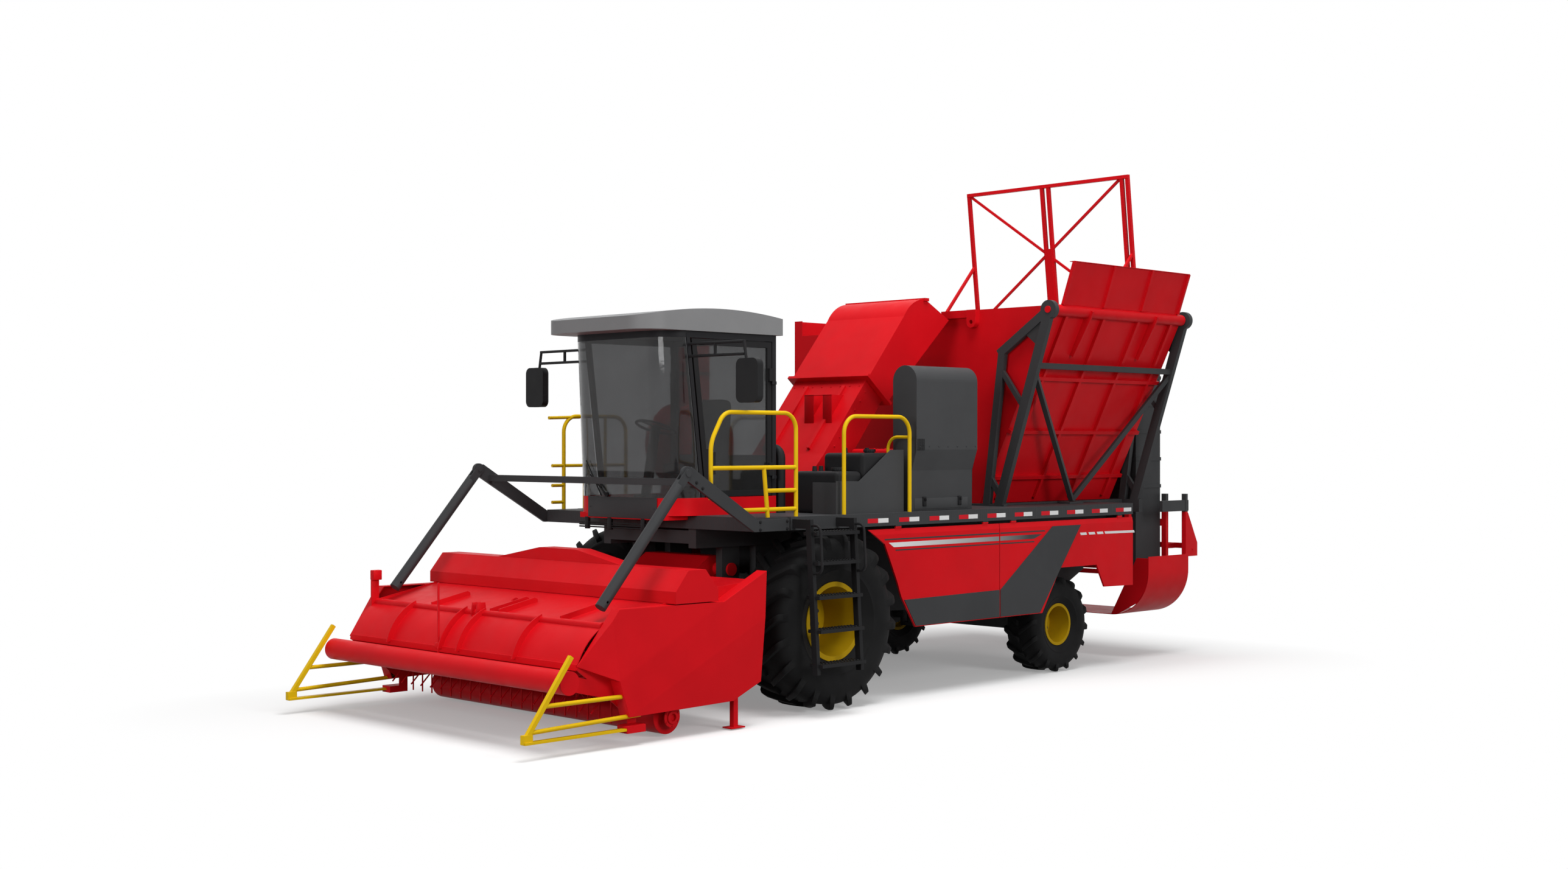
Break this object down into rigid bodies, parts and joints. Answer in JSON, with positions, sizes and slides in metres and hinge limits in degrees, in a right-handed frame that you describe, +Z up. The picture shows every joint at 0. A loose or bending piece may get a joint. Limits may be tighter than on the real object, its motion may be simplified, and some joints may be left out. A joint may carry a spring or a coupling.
{
  "type": "pepper harvester",
  "caption": "Self-propelled pepper harvester with a wide tined picking header, cab, inclined elevator and side-tipping bin on wheels.",
  "frame": {"origin": "on the ground under the middle of the machine's box", "axes": "+X forward to the header, +Y to the driver's left, +Z up"},
  "size_m": [9.85, 3.8653, 5.4021],
  "materials": {
    "red_paint": "gloss",
    "dark_paint": "satin",
    "grey_paint": "satin",
    "roof_grey": "satin",
    "yellow_paint": "satin",
    "steel": "satin",
    "iron": "matte",
    "tyre": "matte",
    "glass": "gloss",
    "plastic": "matte",
    "upholstery": "matte"
  },
  "bodies": {
    "carrier": {"chassis_frame": "dark_paint", "front_axle": "iron", "rear_axle": "iron", "deck": "dark_paint", "separator": "grey_paint", "cab_frame": "red_paint", "cab_roof": "roof_grey", "windscreen": "glass", "glass_right": "glass", "glass_rear": "glass", "driver_station": "upholstery", "mirror_left": "plastic", "mirror_right": "plastic", "handrail_left": "yellow_paint", "handrail_right": "yellow_paint", "handrail_tank": "yellow_paint", "ladder": "dark_paint", "tank_shield": "grey_paint", "tanks": "plastic", "radiator_housing": "grey_paint", "engine": "iron", "elevator": "red_paint", "fan_duct": "red_paint", "push_frame": "dark_paint", "bin_stand": "dark_paint", "rear_boot": "red_paint", "rear_elevator": "dark_paint"},
    "wheel_front_left": {"tyre_front_left": "tyre", "rim_front_left": "yellow_paint"},
    "wheel_front_right": {"tyre_front_right": "tyre", "rim_front_right": "yellow_paint"},
    "knuckle_left": {"knuckle_left": "iron"},
    "knuckle_right": {"knuckle_right": "iron"},
    "wheel_rear_left": {"tyre_rear_left": "tyre", "rim_rear_left": "yellow_paint"},
    "wheel_rear_right": {"tyre_rear_right": "tyre", "rim_rear_right": "yellow_paint"},
    "header": {"header_frame": "red_paint", "drum_cover": "red_paint", "shield_left": "red_paint", "shield_right": "red_paint", "divider_left": "yellow_paint", "divider_right": "yellow_paint"},
    "push_arms": {"push_arms": "dark_paint"},
    "drum": {"picking_drum": "red_paint"},
    "roller": {"ground_roller": "red_paint"},
    "stand_left": {"stand_left": "red_paint"},
    "stand_right": {"stand_right": "red_paint"},
    "cab_door": {"door_frame": "plastic", "door_glass": "glass"},
    "bin": {"bin_shell": "red_paint", "bin_flap": "red_paint", "bin_frame": "red_paint"},
    "side_door_left": {"side_door_left": "red_paint"},
    "side_door_right": {"side_door_right": "red_paint"},
    "rear_door_left": {"rear_door_left": "red_paint", "side_band_left": "dark_paint"},
    "rear_door_right": {"rear_door_right": "red_paint", "side_band_right": "dark_paint"}
  },
  "joints": [
    {"name": "front_wheel_left_spin", "type": "hinge", "parent": "carrier", "child": "wheel_front_left", "pos_m": [1.275, 1.296, 0.8], "axis": [0, 1, 0], "continuous": true},
    {"name": "steer_left", "type": "hinge", "parent": "carrier", "child": "knuckle_left", "pos_m": [-2.415, 0.76, 0.5], "axis": [0, 0, 1], "range_deg": [-30, 30]},
    {"name": "rear_wheel_left_spin", "type": "hinge", "parent": "knuckle_left", "child": "wheel_rear_left", "pos_m": [-2.415, 1.12, 0.5], "axis": [0, 1, 0], "continuous": true},
    {"name": "front_wheel_right_spin", "type": "hinge", "parent": "carrier", "child": "wheel_front_right", "pos_m": [1.275, -1.296, 0.8], "axis": [0, 1, 0], "continuous": true},
    {"name": "steer_right", "type": "hinge", "parent": "carrier", "child": "knuckle_right", "pos_m": [-2.415, -0.76, 0.5], "axis": [0, 0, 1], "range_deg": [-30, 30]},
    {"name": "rear_wheel_right_spin", "type": "hinge", "parent": "knuckle_right", "child": "wheel_rear_right", "pos_m": [-2.415, -1.12, 0.5], "axis": [0, 1, 0], "continuous": true},
    {"name": "header_lift", "type": "hinge", "parent": "carrier", "child": "header", "pos_m": [1.725, 0, 1.25], "axis": [0, -1, 0], "range_deg": [0, 10]},
    {"name": "push_arm_swing", "type": "hinge", "parent": "carrier", "child": "push_arms", "pos_m": [3.035, 0, 2.16], "axis": [0, -1, 0], "range_deg": [0, 25]},
    {"name": "drum_spin", "type": "hinge", "parent": "header", "child": "drum", "pos_m": [3.775, 0, 0.52], "axis": [0, 1, 0], "continuous": true},
    {"name": "roller_spin", "type": "hinge", "parent": "header", "child": "roller", "pos_m": [3.345, 0, 0.165], "axis": [0, 1, 0], "continuous": true},
    {"name": "stand_left_slide", "type": "slide", "parent": "header", "child": "stand_left", "axis": [0, 0, 1], "range_m": [0, 0.2]},
    {"name": "stand_right_slide", "type": "slide", "parent": "header", "child": "stand_right", "axis": [0, 0, 1], "range_m": [0, 0.2]},
    {"name": "cab_door_hinge", "type": "hinge", "parent": "carrier", "child": "cab_door", "pos_m": [1.285, 0.74, 2.6], "axis": [0, 0, 1], "range_deg": [0, 40]},
    {"name": "bin_tip", "type": "hinge", "parent": "carrier", "child": "bin", "pos_m": [-2.875, 1.744, 3.76], "axis": [-1, 0, 0], "range_deg": [0, 95]},
    {"name": "side_door_left_hinge", "type": "hinge", "parent": "carrier", "child": "side_door_left", "pos_m": [-0.275, 1.49, 1.622], "axis": [1, 0, 0], "range_deg": [0, 80]},
    {"name": "rear_door_left_hinge", "type": "hinge", "parent": "carrier", "child": "rear_door_left", "pos_m": [-2.305, 1.49, 1.622], "axis": [1, 0, 0], "range_deg": [0, 80]},
    {"name": "side_door_right_hinge", "type": "hinge", "parent": "carrier", "child": "side_door_right", "pos_m": [-0.275, -1.49, 1.622], "axis": [-1, 0, 0], "range_deg": [0, 80]},
    {"name": "rear_door_right_hinge", "type": "hinge", "parent": "carrier", "child": "rear_door_right", "pos_m": [-2.305, -1.49, 1.622], "axis": [-1, 0, 0], "range_deg": [0, 80]}
  ],
  "couplings": [
    {"joint": "steer_right", "follows": "steer_left", "ratio": 1},
    {"joint": "push_arm_swing", "follows": "header_lift", "ratio": 2.5}
  ]
}
